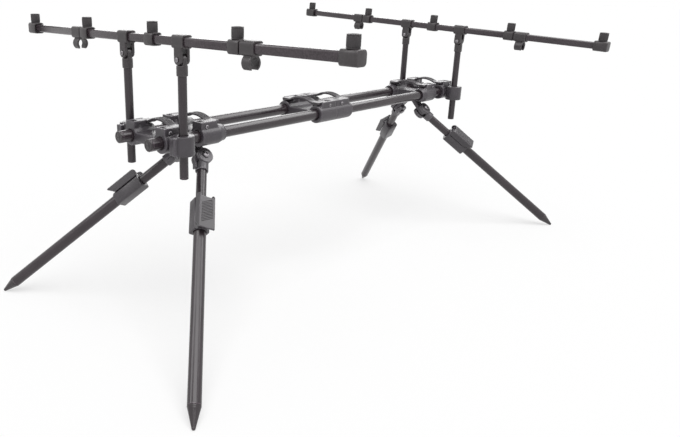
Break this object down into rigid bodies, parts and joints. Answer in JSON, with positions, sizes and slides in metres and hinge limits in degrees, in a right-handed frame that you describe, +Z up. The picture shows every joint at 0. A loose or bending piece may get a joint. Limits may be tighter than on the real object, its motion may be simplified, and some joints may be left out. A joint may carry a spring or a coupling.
{
  "type": "rod pod",
  "caption": "Fishing rod pod of parallel tubes on folding telescopic legs, with raised front and rear buzz bars that hold bite alarms and rod rests in threaded sockets.",
  "frame": {"origin": "on the ground, under the middle of the pod", "axes": "+X along the main tubes from the front bar to the rear bar, +Y to the left side, +Z up"},
  "size_m": [1.15, 0.786, 0.5195],
  "materials": {
    "anodised_tube": "satin gunmetal anodised",
    "grey_moulding": "matte moulded",
    "lever_moulding": "matte moulded",
    "plug_plastic": "matte moulded",
    "socket_metal": "satin anodised, knurled",
    "steel": "plain steel"
  },
  "bodies": {
    "main_tubes": {"left_main_tube": "anodised_tube", "right_main_tube": "anodised_tube", "tube_end_plugs": "plug_plastic"},
    "front_crosshead": {"front_crosshead": "grey_moulding", "front_crosshead_pins": "steel"},
    "front_crosshead_lever": {"front_crosshead_lever": "lever_moulding"},
    "front_leg_bracket": {"front_leg_bracket": "grey_moulding", "front_bracket_pins": "steel", "front_leg_bolts": "steel"},
    "front_bracket_lever": {"front_bracket_lever": "lever_moulding"},
    "rear_crosshead": {"rear_crosshead": "grey_moulding", "rear_crosshead_pins": "steel"},
    "rear_crosshead_lever": {"rear_crosshead_lever": "lever_moulding"},
    "rear_leg_bracket": {"rear_leg_bracket": "grey_moulding", "rear_bracket_pins": "steel", "rear_leg_bolts": "steel"},
    "rear_bracket_lever": {"rear_bracket_lever": "lever_moulding"},
    "middle_bracket": {"middle_bracket": "grey_moulding", "middle_bracket_pins": "steel"},
    "middle_front_lever": {"middle_front_lever": "lever_moulding"},
    "middle_rear_lever": {"middle_rear_lever": "lever_moulding"},
    "front_left_leg": {"front_left_leg_head": "grey_moulding", "front_left_upper_leg": "anodised_tube"},
    "front_left_lower_leg": {"front_left_lower_leg": "anodised_tube", "front_left_leg_clamp": "grey_moulding", "front_left_spike": "plug_plastic"},
    "front_left_clamp_lever": {"front_left_clamp_lever": "lever_moulding"},
    "front_right_leg": {"front_right_leg_head": "grey_moulding", "front_right_upper_leg": "anodised_tube"},
    "front_right_lower_leg": {"front_right_lower_leg": "anodised_tube", "front_right_leg_clamp": "grey_moulding", "front_right_spike": "plug_plastic"},
    "front_right_clamp_lever": {"front_right_clamp_lever": "lever_moulding"},
    "rear_left_leg": {"rear_left_leg_head": "grey_moulding", "rear_left_upper_leg": "anodised_tube"},
    "rear_left_lower_leg": {"rear_left_lower_leg": "anodised_tube", "rear_left_leg_clamp": "grey_moulding", "rear_left_spike": "plug_plastic"},
    "rear_left_clamp_lever": {"rear_left_clamp_lever": "lever_moulding"},
    "rear_right_leg": {"rear_right_leg_head": "grey_moulding", "rear_right_upper_leg": "anodised_tube"},
    "rear_right_lower_leg": {"rear_right_lower_leg": "anodised_tube", "rear_right_leg_clamp": "grey_moulding", "rear_right_spike": "plug_plastic"},
    "rear_right_clamp_lever": {"rear_right_clamp_lever": "lever_moulding"},
    "front_left_upright": {"front_left_upright": "anodised_tube"},
    "front_bar": {"front_bar": "anodised_tube", "front_socket_collars": "grey_moulding", "front_sockets": "socket_metal", "front_swivels": "grey_moulding", "front_clips": "grey_moulding"},
    "front_right_upright": {"front_right_upright": "anodised_tube"},
    "rear_left_upright": {"rear_left_upright": "anodised_tube"},
    "rear_bar": {"rear_bar": "anodised_tube", "rear_socket_collars": "grey_moulding", "rear_sockets": "socket_metal", "rear_swivels": "grey_moulding", "rear_clips": "grey_moulding"},
    "rear_right_upright": {"rear_right_upright": "anodised_tube"}
  },
  "joints": [
    {"name": "front_crosshead_slide", "type": "slide", "parent": "main_tubes", "child": "front_crosshead", "axis": [1, 0, 0], "range_m": [-0.015, 0.008]},
    {"name": "front_crosshead_lever_lift", "type": "hinge", "parent": "front_crosshead", "child": "front_crosshead_lever", "pos_m": [-0.4245, 0, 0.336], "axis": [0, -1, 0], "range_deg": [0, 90]},
    {"name": "front_leg_bracket_slide", "type": "slide", "parent": "main_tubes", "child": "front_leg_bracket", "axis": [1, 0, 0], "range_m": [-0.01, 0.1]},
    {"name": "front_bracket_lever_lift", "type": "hinge", "parent": "front_leg_bracket", "child": "front_bracket_lever", "pos_m": [-0.3495, 0, 0.336], "axis": [0, -1, 0], "range_deg": [0, 90]},
    {"name": "rear_crosshead_slide", "type": "slide", "parent": "main_tubes", "child": "rear_crosshead", "axis": [1, 0, 0], "range_m": [-0.008, 0.015]},
    {"name": "rear_crosshead_lever_lift", "type": "hinge", "parent": "rear_crosshead", "child": "rear_crosshead_lever", "pos_m": [0.4245, 0, 0.336], "axis": [0, 1, 0], "range_deg": [0, 90]},
    {"name": "rear_leg_bracket_slide", "type": "slide", "parent": "main_tubes", "child": "rear_leg_bracket", "axis": [1, 0, 0], "range_m": [-0.1, 0.01]},
    {"name": "rear_bracket_lever_lift", "type": "hinge", "parent": "rear_leg_bracket", "child": "rear_bracket_lever", "pos_m": [0.3495, 0, 0.336], "axis": [0, 1, 0], "range_deg": [0, 90]},
    {"name": "middle_bracket_slide", "type": "slide", "parent": "main_tubes", "child": "middle_bracket", "axis": [1, 0, 0], "range_m": [-0.08, 0.08]},
    {"name": "middle_front_lever_lift", "type": "hinge", "parent": "middle_bracket", "child": "middle_front_lever", "pos_m": [-0.0325, 0, 0.336], "axis": [0, 1, 0], "range_deg": [0, 90]},
    {"name": "middle_rear_lever_lift", "type": "hinge", "parent": "middle_bracket", "child": "middle_rear_lever", "pos_m": [0.0045, 0, 0.336], "axis": [0, -1, 0], "range_deg": [0, 90]},
    {"name": "front_left_leg_fold", "type": "hinge", "parent": "front_leg_bracket", "child": "front_left_leg", "pos_m": [-0.344, 0.0325, 0.279], "axis": [0, -0.7472, -0.6646], "range_deg": [0, 120]},
    {"name": "front_left_leg_shorten", "type": "slide", "parent": "front_left_leg", "child": "front_left_lower_leg", "axis": [0.5252, -0.5656, 0.6358], "range_m": [-0.13, 0.054]},
    {"name": "front_left_clamp_lever_lift", "type": "hinge", "parent": "front_left_lower_leg", "child": "front_left_clamp_lever", "pos_m": [-0.39048, 0.09453, 0.23338], "axis": [-0.851, -0.3491, 0.3925], "range_deg": [-110, 0]},
    {"name": "front_right_leg_fold", "type": "hinge", "parent": "front_leg_bracket", "child": "front_right_leg", "pos_m": [-0.344, -0.0325, 0.279], "axis": [0, -0.7472, 0.6646], "range_deg": [0, 120]},
    {"name": "front_right_leg_shorten", "type": "slide", "parent": "front_right_leg", "child": "front_right_lower_leg", "axis": [0.5252, 0.5656, 0.6358], "range_m": [-0.13, 0.054]},
    {"name": "front_right_clamp_lever_lift", "type": "hinge", "parent": "front_right_lower_leg", "child": "front_right_clamp_lever", "pos_m": [-0.39048, -0.09453, 0.23338], "axis": [0.851, -0.3491, -0.3925], "range_deg": [-110, 0]},
    {"name": "rear_left_leg_fold", "type": "hinge", "parent": "rear_leg_bracket", "child": "rear_left_leg", "pos_m": [0.344, 0.0325, 0.279], "axis": [0, -0.7418, -0.6706], "range_deg": [-120, 0]},
    {"name": "rear_left_leg_shorten", "type": "slide", "parent": "rear_left_leg", "child": "rear_left_lower_leg", "axis": [-0.5225, -0.5718, 0.6325], "range_m": [-0.13, 0.054]},
    {"name": "rear_left_clamp_lever_lift", "type": "hinge", "parent": "rear_left_lower_leg", "child": "rear_left_clamp_lever", "pos_m": [0.39024, 0.09499, 0.23377], "axis": [-0.8526, 0.3504, -0.3876], "range_deg": [-110, 0]},
    {"name": "rear_right_leg_fold", "type": "hinge", "parent": "rear_leg_bracket", "child": "rear_right_leg", "pos_m": [0.344, -0.0325, 0.279], "axis": [0, -0.7418, 0.6706], "range_deg": [-120, 0]},
    {"name": "rear_right_leg_shorten", "type": "slide", "parent": "rear_right_leg", "child": "rear_right_lower_leg", "axis": [-0.5225, 0.5718, 0.6325], "range_m": [-0.13, 0.054]},
    {"name": "rear_right_clamp_lever_lift", "type": "hinge", "parent": "rear_right_lower_leg", "child": "rear_right_clamp_lever", "pos_m": [0.39024, -0.09499, 0.23377], "axis": [0.8526, 0.3504, 0.3876], "range_deg": [-110, 0]},
    {"name": "front_bar_height", "type": "slide", "parent": "front_crosshead", "child": "front_left_upright", "axis": [0, 0, 1], "range_m": [-0.05, 0.035]},
    {"name": "front_bar_tilt", "type": "hinge", "parent": "front_left_upright", "child": "front_bar", "pos_m": [-0.414, 0.071, 0.449], "axis": [1, 0, 0], "range_deg": [-6, 6]},
    {"name": "front_right_upright_swivel", "type": "hinge", "parent": "front_bar", "child": "front_right_upright", "pos_m": [-0.414, -0.071, 0.449], "axis": [1, 0, 0], "range_deg": [-6, 6]},
    {"name": "rear_bar_height", "type": "slide", "parent": "rear_crosshead", "child": "rear_left_upright", "axis": [0, 0, 1], "range_m": [-0.05, 0.035]},
    {"name": "rear_bar_tilt", "type": "hinge", "parent": "rear_left_upright", "child": "rear_bar", "pos_m": [0.414, 0.071, 0.44817], "axis": [1, 0, 0], "range_deg": [-9.4, 2.6]},
    {"name": "rear_right_upright_swivel", "type": "hinge", "parent": "rear_bar", "child": "rear_right_upright", "pos_m": [0.414, -0.071, 0.43974], "axis": [1, 0, 0], "range_deg": [-2.6, 9.4]}
  ],
  "couplings": [
    {"joint": "front_right_upright_swivel", "follows": "front_bar_tilt", "ratio": -1},
    {"joint": "rear_right_upright_swivel", "follows": "rear_bar_tilt", "ratio": -1}
  ]
}
